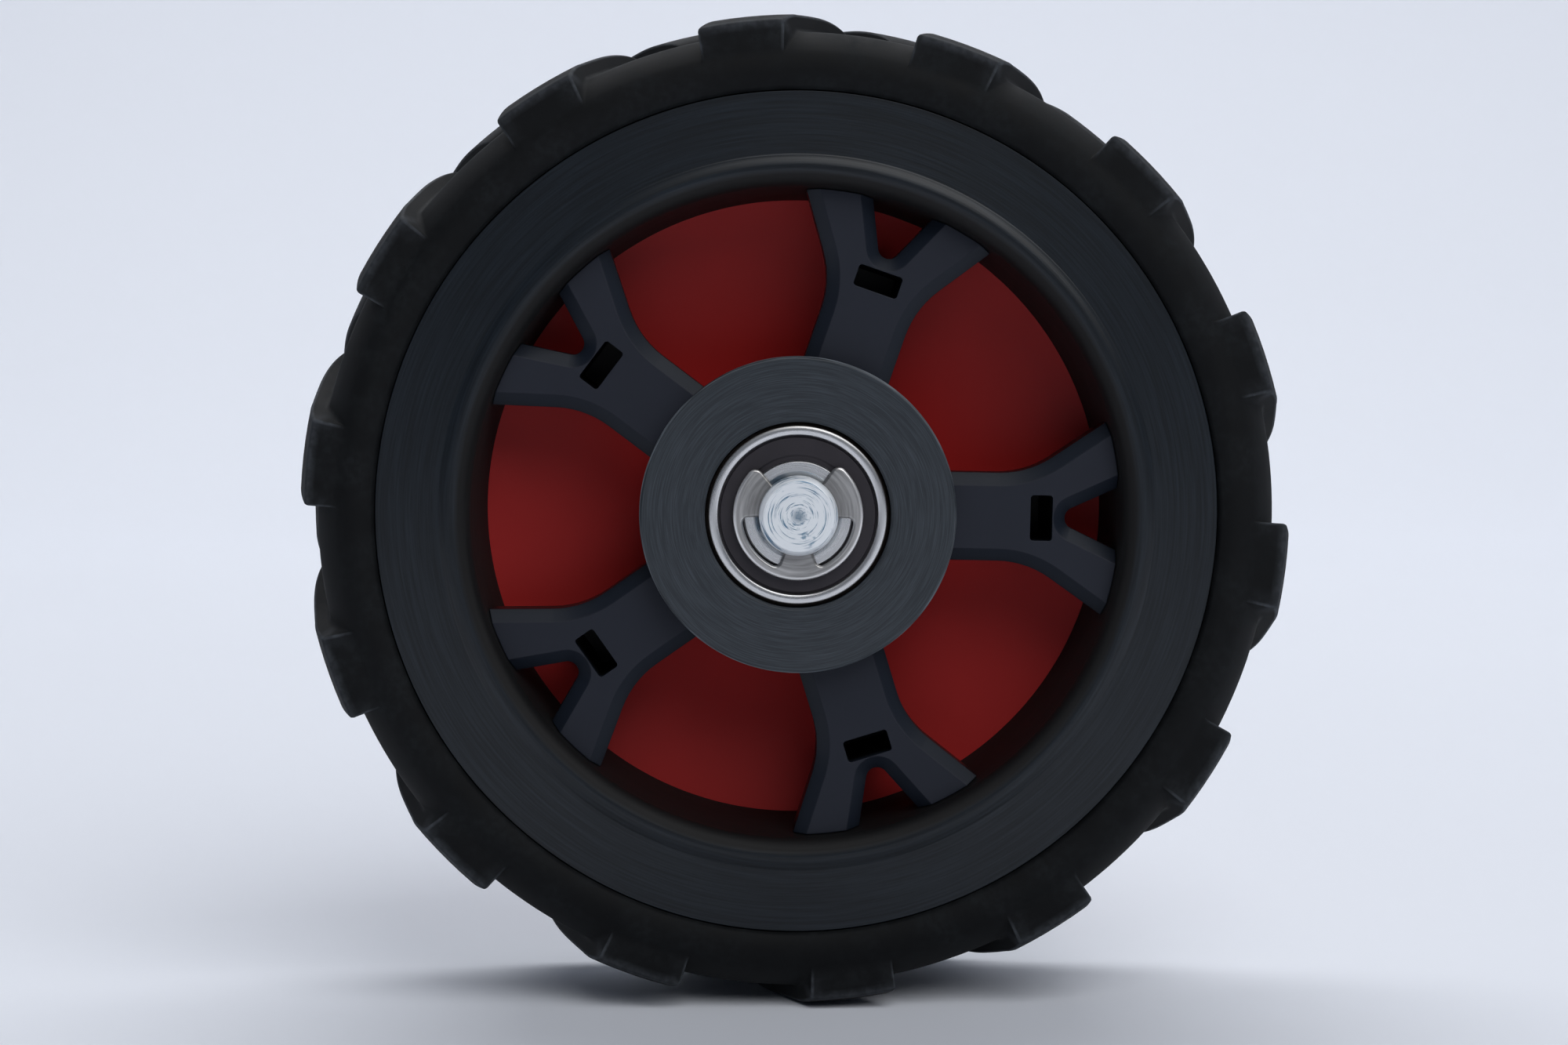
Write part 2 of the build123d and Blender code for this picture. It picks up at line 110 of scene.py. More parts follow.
def turned(name, corners, turns=256, closed=True):
    """Piece turned about the axle: a section in millimetres carried round Y, so that the point at
    radius r, place y and turn t is (r cos t, y, r sin t)."""
    section = rounded(corners) * mm
    t = np.linspace(0, 2 * np.pi, turns, endpoint=False)
    r, y = section[:, :1], section[:, 1:]
    grid = np.stack((r * np.cos(t), y + 0 * t, r * np.sin(t)), axis=-1)
    return skin(name, grid, closed)


def node(tree, kind, inputs=None, **settings):
    """Node of one kind: each of its inputs takes a value, or the output that feeds it."""
    made = tree.nodes.new("ShaderNode" + kind)
    for name, value in settings.items():
        setattr(made, name, value)
    for socket, value in (inputs or {}).items():
        if isinstance(value, bpy.types.NodeSocket):
            tree.links.new(value, made.inputs[socket])
        else:
            made.inputs[socket].default_value = value
    return made


def times(tree, first, second):
    """Product of two values."""
    return node(tree, "Math", {0: first, 1: second}, operation="MULTIPLY").outputs[0]


def blend(tree, share, first, second):
    """Colour that goes from the first to the second as the share goes from 0 to 1."""
    mixed = node(tree, "Mix", {0: share, 6: first, 7: second}, data_type="RGBA")
    return mixed.outputs[2]


def span(tree, value, low, high, start=0.0, stop=1.0):
    """Value that goes from low to high as another goes from start to stop, and no further."""
    limits = {"Value": value, "From Min": start, "From Max": stop, "To Min": low, "To Max": high}
    return node(tree, "MapRange", limits).outputs[0]


def finish(name, **constants):
    """New material, its tree and its shader, with the shader's constant sockets set by name."""
    material = bpy.data.materials.new(name)
    material.use_nodes = True
    shader = material.node_tree.nodes["Principled BSDF"]
    for socket, value in constants.items():
        shader.inputs[socket.replace("_", " ")].default_value = value
    return material, material.node_tree, shader


def effect(name, inputs, outputs):
    """New node group with named float sockets, and the nodes at its two ends."""
    group = bpy.data.node_groups.new(name, "ShaderNodeTree")
    kind = "NodeSocketFloat"
    for socket, value in inputs.items():
        made = group.interface.new_socket(name=socket, in_out="INPUT", socket_type=kind)
        made.default_value = value
    for socket in outputs:
        group.interface.new_socket(name=socket, in_out="OUTPUT", socket_type=kind)
    return group, group.nodes.new("NodeGroupInput"), group.nodes.new("NodeGroupOutput")


# Lathe rings: noise over (x / r * run, r * rings, z / r * run), so a streak is thin across the
# radius and long round the axle, with no seam. Radius gives r itself, in millimetres.
rings_group, ring_in, ring_out = effect(
    "turned_rings", inputs={"Rings": 2000.0, "Run": 2.0}, outputs=("Streak", "Radius"))
place = node(rings_group, "TexCoord").outputs["Object"]
flat = node(rings_group, "VectorMath", {0: place, 1: (1, 0, 1)}, operation="MULTIPLY").outputs[0]
radius = node(rings_group, "VectorMath", {0: flat}, operation="LENGTH").outputs["Value"]
outward = node(rings_group, "VectorMath", {0: flat}, operation="NORMALIZE").outputs[0]
along = {0: outward, "Scale": ring_in.outputs["Run"]}
along = node(rings_group, "VectorMath", along, operation="SCALE").outputs[0]
across = times(rings_group, radius, ring_in.outputs["Rings"])
across = node(rings_group, "CombineXYZ", {"Y": across}).outputs[0]
spot = node(rings_group, "VectorMath", {0: along, 1: across}, operation="ADD").outputs[0]
streak = {"Vector": spot, "Scale": 1.0, "Detail": 3.0, "Roughness": 0.6}
streak = node(rings_group, "TexNoise", streak).outputs[0]
rings_group.links.new(streak, ring_out.inputs["Streak"])
rings_group.links.new(times(rings_group, radius, 1 / mm), ring_out.inputs["Radius"])


def lathe_rings(tree, rings, run):
    """The turned_rings group placed in a material with its own ring spacing and streak length."""
    placed = node(tree, "Group", node_tree=rings_group)
    placed.inputs["Rings"].default_value = rings
    placed.inputs["Run"].default_value = run
    return placed.outputs


def raise_by(tree, shader, height, distance, strength):
    """Bump whose height runs over the given distance, in millimetres."""
    bump = node(tree, "Bump", {"Height": height, "Distance": distance * mm, "Strength": strength})
    tree.links.new(bump.outputs[0], shader.inputs["Normal"])


axle_r, groove_r, collar_r, end_chamfer = 8.5, 7.5, 11.5, 1.0
axle_front, clip_front, clip_back = -34.2, -30.75, -29.2
collar_front, collar_back, pin_end = 22.0, 27.0, 59.0

axle = turned("stub_axle", [
    (0, axle_front, 0),
    (axle_r - end_chamfer, axle_front, 0.4),
    (axle_r, axle_front + end_chamfer, 0.4),
    (axle_r, clip_front, 0.1),
    (groove_r, clip_front, 0.1),
    (groove_r, clip_back, 0.1),
    (axle_r, clip_back, 0.1),
    (axle_r, collar_front, 0.1),
    (collar_r, collar_front, 0.3),
    (collar_r, collar_back, 0.3),
    (axle_r, collar_back, 0.2),
    (axle_r, pin_end - end_chamfer, 0.4),
    (axle_r - end_chamfer, pin_end, 0.4),
    (0, pin_end, 0),
], turns=160, closed=False)

zinc, tree, shader = finish("zinc_plate", Anisotropic=0.3)
rings = lathe_rings(tree, rings=3000.0, run=0.9)
bands = lathe_rings(tree, rings=500.0, run=1.5)
cut = span(tree, rings["Streak"], 0, 1, start=0.34, stop=0.46)
plated = blend(tree, cut, (0.09, 0.21, 0.33, 1), (0.93, 0.968, 1.0, 1))
shaded = span(tree, bands["Streak"], 0.8, 0, start=0.30, stop=0.39)
plated = blend(tree, shaded, plated, (0.10, 0.24, 0.36, 1))
dark_middle = span(tree, rings["Radius"], 0.8, 0, start=0.5, stop=2.0)
plated = blend(tree, dark_middle, plated, (0.12, 0.20, 0.28, 1))
place = node(tree, "TexCoord").outputs["Object"]
along_axle = node(tree, "SeparateXYZ", {"Vector": place}).outputs["Y"]
# The end face is frosted by the plating, and the sides behind it are bright metal
face_end, side_start = (axle_front + 0.3) * mm, (axle_front + 1.2) * mm
bright = span(tree, along_axle, 0.25, 0.85, start=face_end, stop=side_start)
tree.links.new(plated, shader.inputs["Base Color"])
tree.links.new(bright, shader.inputs["Metallic"])
tree.links.new(span(tree, rings["Streak"], 0.42, 0.24), shader.inputs["Roughness"])
raise_by(tree, shader, rings["Streak"], distance=0.08, strength=0.5)
axle.data.materials.append(zinc)
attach(axle, "axle")
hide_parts("axle")

# Spacer sleeve: a plain steel tube, cut and faced, that slides over the axle and keeps the two
# bearings' inner rings apart.


def dress(piece, material):
    """One material for a piece of the CAD, in place of its own."""
    piece.data.materials.clear()
    piece.data.materials.append(material)


plain_steel, tree, shader = finish("plain_steel", Metallic=1.0)
rings = lathe_rings(tree, rings=900.0, run=1.5)
faced = blend(tree, rings["Streak"], (0.30, 0.31, 0.33, 1), (0.52, 0.53, 0.55, 1))
tree.links.new(faced, shader.inputs["Base Color"])
tree.links.new(span(tree, rings["Streak"], 0.5, 0.3), shader.inputs["Roughness"])
dress(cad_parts["spacer_sleeve"], plain_steel)

# Two sealed ball bearings: ground steel rings with a ball groove, steel balls in a moulded cage,
# and a rubber seal pressed into a step at each face. They are pressed into the hub's ends.
bearing_r, bore_r, half_bearing = 20.0, 8.52, 6.0
outer_land, inner_land = 16.7, 12.1
seal_seat, seal_track, seal_depth = 17.2, 11.5, 1.6
seal_lip, seal_edge, seal_wall, seal_inset = 11.7, 17.18, 0.98, 0.61
lip_width, lip_drop, lip_slope = 0.9, 0.30, 0.4
clamp_width, clamp_drop, clamp_lean = 0.4, 0.7, 0.1
ball_circle, ball_groove = 14.25, 3.4735
ring_chamfer, ring_edge, ring_crown, crown_edge = 0.9, 0.12, 0.2, 19.2
outboard_middle, inboard_middle = -23.2, 16.0


def arc(start, through, stop, steps=8):
    """Corners, left sharp, along the circle through three points: its centre is as far from each of
    them, and the turn goes evenly from the first to the last by way of the second."""
    a, b, c = (np.array(point, float) for point in (start, through, stop))
    centre = np.linalg.solve(2 * np.array((b - a, c - a)), (b @ b - a @ a, c @ c - a @ a))
    first, second, third = (np.arctan2(*(point - centre)[::-1]) for point in (a, b, c))
    part = [(d + np.pi) % (2 * np.pi) - np.pi for d in (second - first, third - second)]
    turn = first + sum(part) * np.linspace(0, 1, steps + 1)
    points = centre + np.linalg.norm(a - centre) * np.stack((np.cos(turn), np.sin(turn)), axis=-1)
    return np.column_stack((points, np.zeros(steps + 1)))


def groove_arc(land, bottom, middle):
    """Ball groove in a ring, from the edge of its land down to the bottom and back."""
    run = np.sqrt(ball_groove**2 - (land - ball_circle) ** 2)
    return arc((land, middle + run), (bottom, middle), (land, middle - run))


ring_steel, tree, shader = finish("bearing_steel", Metallic=0.9, Anisotropic=0.4)
rings = lathe_rings(tree, rings=1500.0, run=0.6)
ground = blend(tree, rings["Streak"], (0.50, 0.50, 0.51, 1), (0.84, 0.84, 0.84, 1))
chamfer = span(tree, rings["Radius"], 0, 1, start=18.85, stop=19.25)
ground = blend(tree, chamfer, ground, (0.060, 0.048, 0.042, 1))
tree.links.new(ground, shader.inputs["Base Color"])
tree.links.new(span(tree, rings["Streak"], 0.34, 0.22), shader.inputs["Roughness"])
raise_by(tree, shader, rings["Streak"], distance=0.02, strength=0.3)

ball_steel, tree, shader = finish("ball_steel", Metallic=1.0)
place = node(tree, "TexCoord").outputs["Object"]
speck = node(tree, "TexNoise", {"Scale": 900.0, "Vector": place}).outputs[0]
lapped = blend(tree, speck, (0.55, 0.56, 0.58, 1), (0.70, 0.71, 0.73, 1))
tree.links.new(lapped, shader.inputs["Base Color"])
tree.links.new(span(tree, speck, 0.06, 0.14), shader.inputs["Roughness"])

# Moulded grain: fine noise for the height of a moulded skin, and broad noise for its mottle.
grain_group, grain_in, grain_out = effect(
    "moulded_grain", inputs={"Grain size": 0.4, "Mottle size": 12.0}, outputs=("Grain", "Mottle"))
place = node(grain_group, "TexCoord").outputs["Object"]
for size, socket, detail in (("Grain size", "Grain", 2.0), ("Mottle size", "Mottle", 4.0)):
    per_metre = {0: 1 / mm, 1: grain_in.outputs[size]}
    per_metre = node(grain_group, "Math", per_metre, operation="DIVIDE").outputs[0]
    noise = node(grain_group, "TexNoise", {"Vector": place, "Scale": per_metre, "Detail": detail})
    grain_group.links.new(noise.outputs[0], grain_out.inputs[socket])


def moulded_skin(tree, grain, mottle):
    """The moulded_grain group placed in a material, with its two sizes in millimetres."""
    placed = node(tree, "Group", node_tree=grain_group)
    placed.inputs["Grain size"].default_value = grain
    placed.inputs["Mottle size"].default_value = mottle
    return placed.outputs


seal_rubber, tree, shader = finish("seal_rubber", Specular_IOR_Level=0.35)
skin_noise = moulded_skin(tree, grain=0.25, mottle=5.0)
mottled = blend(tree, skin_noise["Mottle"], (0.016, 0.013, 0.017, 1), (0.030, 0.026, 0.032, 1))
tree.links.new(mottled, shader.inputs["Base Color"])
tree.links.new(span(tree, skin_noise["Mottle"], 0.45, 0.62), shader.inputs["Roughness"])
raise_by(tree, shader, skin_noise["Grain"], distance=0.02, strength=0.5)

cage_plastic, tree, shader = finish("cage_plastic")
skin_noise = moulded_skin(tree, grain=0.3, mottle=4.0)
mottled = blend(tree, skin_noise["Mottle"], (0.30, 0.24, 0.15, 1), (0.42, 0.34, 0.22, 1))
tree.links.new(mottled, shader.inputs["Base Color"])
tree.links.new(span(tree, skin_noise["Grain"], 0.4, 0.55), shader.inputs["Roughness"])

for side, middle in (("outboard", outboard_middle), ("inboard", inboard_middle)):
    front, back = middle - half_bearing, middle + half_bearing
    crown_middle = (seal_seat + crown_edge) / 2
    crowned = [(seal_seat, ring_crown), (crown_middle, 0), (crown_edge, ring_crown)]
    outer_ring = turned(f"{side}_outer_ring", np.vstack((
        arc(*((r, front + drop) for r, drop in crowned)),
        [
            (bearing_r, front + ring_chamfer, 0.3),
            (bearing_r, back - ring_chamfer, 0.3),
        ],
        arc(*((r, back - drop) for r, drop in crowned[::-1])),
        [
            (seal_seat, back - seal_depth, ring_edge),
            (outer_land, back - seal_depth, ring_edge),
        ],
        groove_arc(outer_land, ball_circle + ball_groove, middle),
        [
            (outer_land, front + seal_depth, ring_edge),
            (seal_seat, front + seal_depth, ring_edge),
        ],
    )))
    inner_ring = turned(f"{side}_inner_ring", np.vstack((
        [
            (bore_r, front + ring_chamfer, 0.3),
            (bore_r + ring_chamfer, front, 0.3),
            (seal_track, front, ring_edge),
            (seal_track, front + seal_depth, ring_edge),
            (inner_land, front + seal_depth, ring_edge),
        ],
        groove_arc(inner_land, ball_circle - ball_groove, middle)[::-1],
        [
            (inner_land, back - seal_depth, ring_edge),
            (seal_track, back - seal_depth, ring_edge),
            (seal_track, back, ring_edge),
            (bore_r + ring_chamfer, back, 0.3),
            (bore_r, back - ring_chamfer, 0.3),
        ],
    )), turns=160)
    for ring, name, body in ((outer_ring, "outer_ring", "wheel"), (inner_ring, "inner_ring", "axle")):
        ring.data.materials.append(ring_steel)
        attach(ring, body)
        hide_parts(f"{side}_bearing_{name}")

    for end, face, way in (("front", front + seal_inset, 1), ("rear", back - seal_inset, -1)):
        seal = turned(f"{side}_{end}_seal", [
            (seal_lip, face + way * lip_drop, 0.12),
            (seal_lip + lip_width, face + way * lip_drop, 0.25),
            (seal_lip + lip_width + lip_slope, face, 0.25),
            (seal_edge - clamp_width - clamp_lean, face, 0.2),
            (seal_edge - clamp_width, face + way * clamp_drop, 0.1),
            (seal_edge, face + way * clamp_drop, 0.1),
            (seal_edge, face + way * seal_wall, 0.12),
            (seal_lip, face + way * seal_wall, 0.12),
        ], turns=160)
        seal.data.materials.append(seal_rubber)
        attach(seal, "wheel")
        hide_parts(f"{side}_bearing_{end}_seal")

    dress(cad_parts[f"{side}_bearing_balls"], ball_steel)
    dress(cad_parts[f"{side}_bearing_cage"], cage_plastic)

# E-clip: stamped from spring steel, tumbled until its edges are round, and snapped into the axle's
# groove from above, where it keeps the outboard bearing's inner ring in place.
clip_r, clip_window_r, clip_bore_r = 14.0, 12.0, 7.55
clip_corner, clip_horn, clip_edge, clip_play = 1.1, 1.8, 0.6, 0.05
corner_share, degrees_per_step = 1.15, 4
clip_mouth = (130.0, 413.0)
clip_windows = ((291.0, 356.5), (182.0, 249.0))


def stretch(radius, start, stop, corner=clip_corner):
    """Corners of one edge of the clip, an arc about the axle: its two ends are rounded off, and what
    lies between stays clear of them by a little more than that rounding."""
    clear = np.sign(stop - start) * np.degrees(corner_share * corner / radius)
    steps = max(2, int(abs(stop - start) / degrees_per_step))
    turn = np.linspace(start + clear, stop - clear, steps)
    turn = np.radians(np.concatenate(([start], turn, [stop])))
    rounding = np.zeros(len(turn))
    rounding[[0, -1]] = corner
    return np.column_stack((radius * np.cos(turn), radius * np.sin(turn), rounding))


def clip_skin():
    """The clip's surface: its edge is a half round carried along the outline. At the angle a the edge
    lies in from the outline by clip_edge * (1 - cos a), and clip_edge * (1 - sin a) from the face."""
    horn, other_horn = clip_mouth
    edges, turn = [stretch(clip_r, horn, other_horn, clip_horn)], other_horn
    for start, stop in clip_windows:
        edges += [stretch(clip_bore_r, turn, stop), stretch(clip_window_r, stop, start)]
        turn = start
    edges.append(stretch(clip_bore_r, turn, horn))
    outline = rounded(np.vstack(edges))
    along = np.roll(outline, -1, axis=0) - np.roll(outline, 1, axis=0)
    along /= np.linalg.norm(along, axis=1, keepdims=True)
    inward = np.column_stack((-along[:, 1], along[:, 0]))
    a = np.linspace(np.pi / 2, 0, 7)
    drop = clip_edge * (1 - np.sin(a))
    inset = clip_edge * (1 - np.cos(a))
    y = np.concatenate((clip_front + clip_play + drop, clip_back - drop[::-1]))
    inset = np.concatenate((inset, inset[::-1]))[:, None, None]
    flat = outline[None] + inset * inward[None]
    y = np.broadcast_to(y[:, None], flat.shape[:2])
    return np.stack((flat[..., 0], y, flat[..., 1]), axis=-1) * mm


clip = skin("retaining_clip", clip_skin(), closed=False, ends=True)

spring_steel, tree, shader = finish("spring_steel", Metallic=0.9)
skin_noise = moulded_skin(tree, grain=0.35, mottle=4.0)
rings = lathe_rings(tree, rings=1500.0, run=1.2)
brushed = span(tree, rings["Streak"], 0, 1, start=0.32, stop=0.68)
brushed_and_painted_light = blend(tree, brushed, (0.29, 0.285, 0.28, 1), (0.56, 0.55, 0.54, 1))
# Painted shade: the clip's colour darkens towards the axle
shaded = span(tree, rings["Radius"], 0.6, 0, start=8.5, stop=12.0)
brushed_and_painted_light = blend(tree, shaded, brushed_and_painted_light, (0.16, 0.155, 0.15, 1))
# Painted highlight: a bright band round the clip's outer edge
painted_highlight = span(tree, rings["Radius"], 0, 0.9, start=13.2, stop=13.7)
brushed_and_painted_light = blend(tree, painted_highlight, brushed_and_painted_light, (0.94, 0.93, 0.92, 1))
tree.links.new(brushed_and_painted_light, shader.inputs["Base Color"])
tree.links.new(span(tree, skin_noise["Mottle"], 0.38, 0.26), shader.inputs["Roughness"])
raise_by(tree, shader, skin_noise["Grain"], distance=0.01, strength=0.4)
clip.data.materials.append(spring_steel)
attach(clip, "axle")
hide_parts("e_clip")

# Hub: turned from bar, dark anodised and faced with fine rings. Its flange holds the spokes' roots,
# and its tube takes a bearing at each end.
seat_r, abutment_r, tube_r, hub_flange_r, hub_edge = 20.02, 18.35, 26.0, 34.1, 0.5
hub_face, hub_flange_back, hub_back = -30.0, -23.5, 22.8
front_abutment, rear_abutment = -17.2, 10.0

hub = turned("hub", [
    (seat_r, hub_face + hub_edge, 0.2),
    (seat_r + hub_edge, hub_face, 0.2),
    (hub_flange_r - hub_edge, hub_face, 0.3),
    (hub_flange_r, hub_face + hub_edge, 0.3),
    (hub_flange_r, hub_flange_back, 0.2),
    (tube_r, hub_flange_back, 0.2),
    (tube_r, hub_back - hub_edge, 0.3),
    (tube_r - hub_edge, hub_back, 0.3),
    (seat_r + hub_edge, hub_back, 0.2),
    (seat_r, hub_back - hub_edge, 0.2),
    (seat_r, rear_abutment, 0.1),
    (abutment_r, rear_abutment, 0.1),
    (abutment_r, front_abutment, 0.1),
    (seat_r, front_abutment, 0.1),
])

dark_metal, tree, shader = finish("brushed_dark_metal", Anisotropic=0.5, Specular_IOR_Level=0.5)
rings = lathe_rings(tree, rings=4200.0, run=3.2)
streak = span(tree, rings["Streak"], 0, 1, start=0.40, stop=0.74)
faced = blend(tree, streak, (0.016, 0.0215, 0.0275, 1), (0.044, 0.054, 0.066, 1))
# Painted highlight: a bright streaked line round the flange's front edge
painted_highlight = span(tree, rings["Radius"], 0, 1, start=33.65, stop=33.95)
faced = blend(tree, times(tree, painted_highlight, streak), faced, (0.24, 0.27, 0.30, 1))
tree.links.new(faced, shader.inputs["Base Color"])
tree.links.new(span(tree, rings["Streak"], 0.55, 0.38), shader.inputs["Roughness"])
raise_by(tree, shader, rings["Streak"], distance=0.03, strength=0.4)
hub.data.materials.append(dark_metal)
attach(hub, "wheel")
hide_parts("hub")

# Dished disc: one red moulding, a slightly hollow disc with a boss on the hub's tube, ribs behind
# and a wall that sits in the rim's barrel.
red_plastic, tree, shader = finish("red_plastic", Specular_IOR_Level=0.18)
skin_noise = moulded_skin(tree, grain=0.5, mottle=18.0)
mottled = blend(tree, skin_noise["Mottle"], (0.34, 0.012, 0.011, 1), (0.40, 0.015, 0.014, 1))
tree.links.new(mottled, shader.inputs["Base Color"])
tree.links.new(span(tree, skin_noise["Grain"], 0.42, 0.55), shader.inputs["Roughness"])
raise_by(tree, shader, skin_noise["Grain"], distance=0.015, strength=0.4)
dress(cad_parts["dish_disc"], red_plastic)

# Rim: one dark moulding, a flat flange that rises to a rounded lip, and a barrel with a rear flange
# that holds the tire's beads. Its face was trued on a lathe, which left faint rings.
lip_line, lip_crest, lip_edge = (77.4, -28.2), (73.95, -29.3), (70.5, -24.7)
flange_r, bead_r, rear_flange_r, pocket_r, barrel_r = 90.8, 74.1, 83.1, 68.4, 70.5
flange_front, flange_back, disc_stop = -27.3, -24.1, -2.0
rear_flange_front, rear_flange_back = 24.1, 27.3

rim = turned("rim", np.vstack((
    [
        (bead_r, flange_back, 0.4),
        (flange_r, flange_back, 0.2),
        (flange_r, flange_front, 0.2),
    ],
    arc(lip_line, lip_crest, lip_edge, steps=20),
    [
        (pocket_r, disc_stop, 0.1),
        (barrel_r, disc_stop, 0.1),
        (barrel_r, rear_flange_back, 0.5),
        (rear_flange_r, rear_flange_back, 0.5),
        (rear_flange_r, rear_flange_front, 0.2),
        (bead_r, rear_flange_front, 0.4),
    ],
)), turns=320)

rim_plastic, tree, shader = finish("rim_plastic", Anisotropic=0.3, Specular_IOR_Level=0.34)
rings = lathe_rings(tree, rings=2200.0, run=4.5)
streak = span(tree, rings["Streak"], 0, 1, start=0.38, stop=0.72)
rim_rings_and_lip_shade = blend(tree, streak, (0.0042, 0.0064, 0.0092, 1), (0.0115, 0.0165, 0.0230, 1))
# Painted shade inside the lip: the colour is darker there, and the moulding rougher by 0.3
inside = span(tree, rings["Radius"], 1, 0, start=72.9, stop=74.0)
rim_rings_and_lip_shade = blend(tree, inside, rim_rings_and_lip_shade, (0.0022, 0.0020, 0.0022, 1))
rough = {0: inside, 1: 0.3, 2: span(tree, rings["Streak"], 0.42, 0.31)}
rough = node(tree, "Math", rough, operation="MULTIPLY_ADD").outputs[0]
tree.links.new(rim_rings_and_lip_shade, shader.inputs["Base Color"])
tree.links.new(rough, shader.inputs["Roughness"])
raise_by(tree, shader, rings["Streak"], distance=0.05, strength=0.35)
rim.data.materials.append(rim_plastic)
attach(rim, "wheel")
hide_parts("rim")

# Tire: black rubber moulded in one piece. Fourteen slanted lugs stand on each shoulder, staggered
# between the two sides, and the beads grip the rim's barrel between its flanges.
tire_r, half_width, crown_drop, crown_half = 108.0, 29.0, 0.55, 20.2
floor_r, floor_drop, floor_half = 104.2, 0.6, 22.5
wall_foot, wall_head, wall_centre = (91.05, -27.6), (99.4, -27.6), (95.225, -22.075)
lug_count, lug_height, lug_nose = 14, 3.8, 16.0
lug_lead, lug_swing, lug_past_middle = -0.5, 10.0, 4.0
lug_foot_place, lug_foot_span, lug_nose_span = -29.7, 10.5, 8.0
lug_foot, lug_corner = np.array((98.85, -27.978)), np.array((105.8, -27.7))
corner_rounding, crown_shoulder = 0.8, (106.9, -24.815)
scoop, rim_gap = 1.0, 0.05
pitch = 360 / lug_count
# A wall of a lug, from the floor up: how far in from the wall's own line, and how high
wall_in = np.array((-0.6, -0.3, -0.08, 0.0, 0.15, 0.244, 0.5, 0.85))
wall_up = np.array((0.0, 0.08, 0.3, 0.6, 3.1, 3.45, 3.706, lug_height)) / lug_height
# Painted highlight on the lugs: the height on a wall about which it lies and half its band, its
# share at the lug's corner and its reach from there, and the height of a lug that has all of it
highlight_middle, highlight_band, highlight_corner, highlight_reach, highlight_stand = 0.94, 0.0325, 0.6, 1.6, 2.0


def even_steps(path, shares):
    """Points at given shares of the length of a path of many short steps."""
    length = np.concatenate(([0], np.cumsum(np.linalg.norm(np.diff(path, axis=0), axis=1))))
    return np.stack([np.interp(shares * length[-1], length, axis) for axis in path.T], axis=-1)


def bow(top, drop, half, y):
    """Points (radius, y) on an arc that is highest, at top, in the middle plane and falls by drop at
    half to each side: radius is top - R + sqrt(R^2 - y^2), where R = (half^2 + drop^2) / (2 drop)."""
    radius = (half**2 + drop**2) / (2 * drop)
    return np.column_stack((top - radius + np.sqrt(radius**2 - y**2), y))


def tire_rows():
    """The tire's section twice, row by row from the front flange over the tread, down the rear side
    and back through the bore: as the bare carcass, and as the envelope of the lugs. The two differ
    only between the feet of the lugs. Rows on the crown have one place for both."""
    wall = arc(wall_foot, (wall_centre[0], -half_width), lug_foot, steps=9)[:, :2]
    # Shoulder of the carcass: the arc that leaves the sidewall along its own direction
    start, stop = np.array((wall_head, (floor_r - floor_drop, -floor_half)))
    inward = (wall_centre - start) / np.linalg.norm(wall_centre - start)
    chord = stop - start
    centre = start + inward * (chord @ chord) / (2 * chord @ inward)
    first, last = (np.arctan2(*(point - centre)[::-1]) for point in (start, stop))
    turn = np.linspace(first, last, 40)[:, None]
    shoulder = centre + np.linalg.norm(start - centre) * np.hstack((np.cos(turn), np.sin(turn)))
    floor_edge = np.linspace(-floor_half, -crown_half, 12)[1:]
    floor_edge = bow(floor_r, floor_drop, floor_half, floor_edge)
    shoulder = np.vstack((lug_foot, shoulder, floor_edge))
    # Envelope: the lug's leaning side, its rounded corner and the rounding up to the crown. A corner
    # inside the tire closes the section, and is dropped again with the foot.
    lean = lug_foot + (lug_corner - lug_foot) * np.linspace(0, 0.85, 7)[:, None]
    rounding = arc(lug_corner, crown_shoulder, (tire_r - crown_drop, -crown_half))
    envelope = rounded(np.vstack((
        np.column_stack((lean, np.zeros(len(lean)))),
        [(*lug_corner, corner_rounding)],
        rounding[1:],
        [(90.0, -24.0, 0)],
    )), steps=4)[1:-1]
    length = np.cumsum(np.linalg.norm(np.diff(np.vstack((lug_foot, envelope)), axis=0), axis=1))
    carcass = even_steps(shoulder, length / length[-1])
    # Crown, from one shoulder to the other
    y = np.linspace(-crown_half, crown_half, 41)[1:-1]
    floor, crown = bow(floor_r, floor_drop, floor_half, y), bow(tire_r, crown_drop, crown_half, y)
    # Beads and bore, hidden on the rim
    bead_side = rear_flange_front - rim_gap
    across = np.linspace(bead_side, -bead_side, 13)
    bore = np.vstack((
        [(rear_flange_r + rim_gap, rear_flange_back), (rear_flange_r + rim_gap, bead_side)],
        np.column_stack((np.full(len(across), bead_r + rim_gap), across)),
        [(wall_foot[0], -bead_side)],
    ))
    flip = np.array((1, -1))
    return (
        np.vstack((wall, carcass, floor, (carcass * flip)[::-1], (wall * flip)[::-1], bore)),
        np.vstack((wall, envelope, crown, (envelope * flip)[::-1], (wall * flip)[::-1], bore)),
    )


def lug_columns():
    """Columns of one pitch, clockwise: for each the two lug edges that it lies between, its distance
    past each in millimetres, its share of the way from one to the other, and its height. The edges
    are a near lug's leading and trailing walls, a far lug's, and the next near lug's leading wall."""
    # A trailing wall is a leading one turned round, with the scoop, a quarter round, for its foot
    sweep = np.linspace(0, np.pi / 2, 5)
    trail_in = np.concatenate((-wall_in[:3:-1], scoop * (1 - np.cos(sweep))))
    trail_up = np.concatenate((wall_up[:3:-1], scoop / lug_height * (1 - np.sin(sweep))))
    tops, floors = np.linspace(0, 1, 6)[1:-1], np.linspace(0, 1, 4)[1:-1]
    columns = []
    for lead in (0, 2):
        columns += [(lead, lead, d, d, 0, up) for d, up in zip(wall_in, wall_up)]
        columns += [(lead, lead + 1, wall_in[-1], -wall_in[-1], share, 1) for share in tops]
        columns += [(lead + 1, lead + 1, d, d, 0, up) for d, up in zip(trail_in, trail_up)]
        columns += [(lead + 1, lead + 2, scoop, wall_in[0], share, 0) for share in floors]
    return np.array(columns, float).T


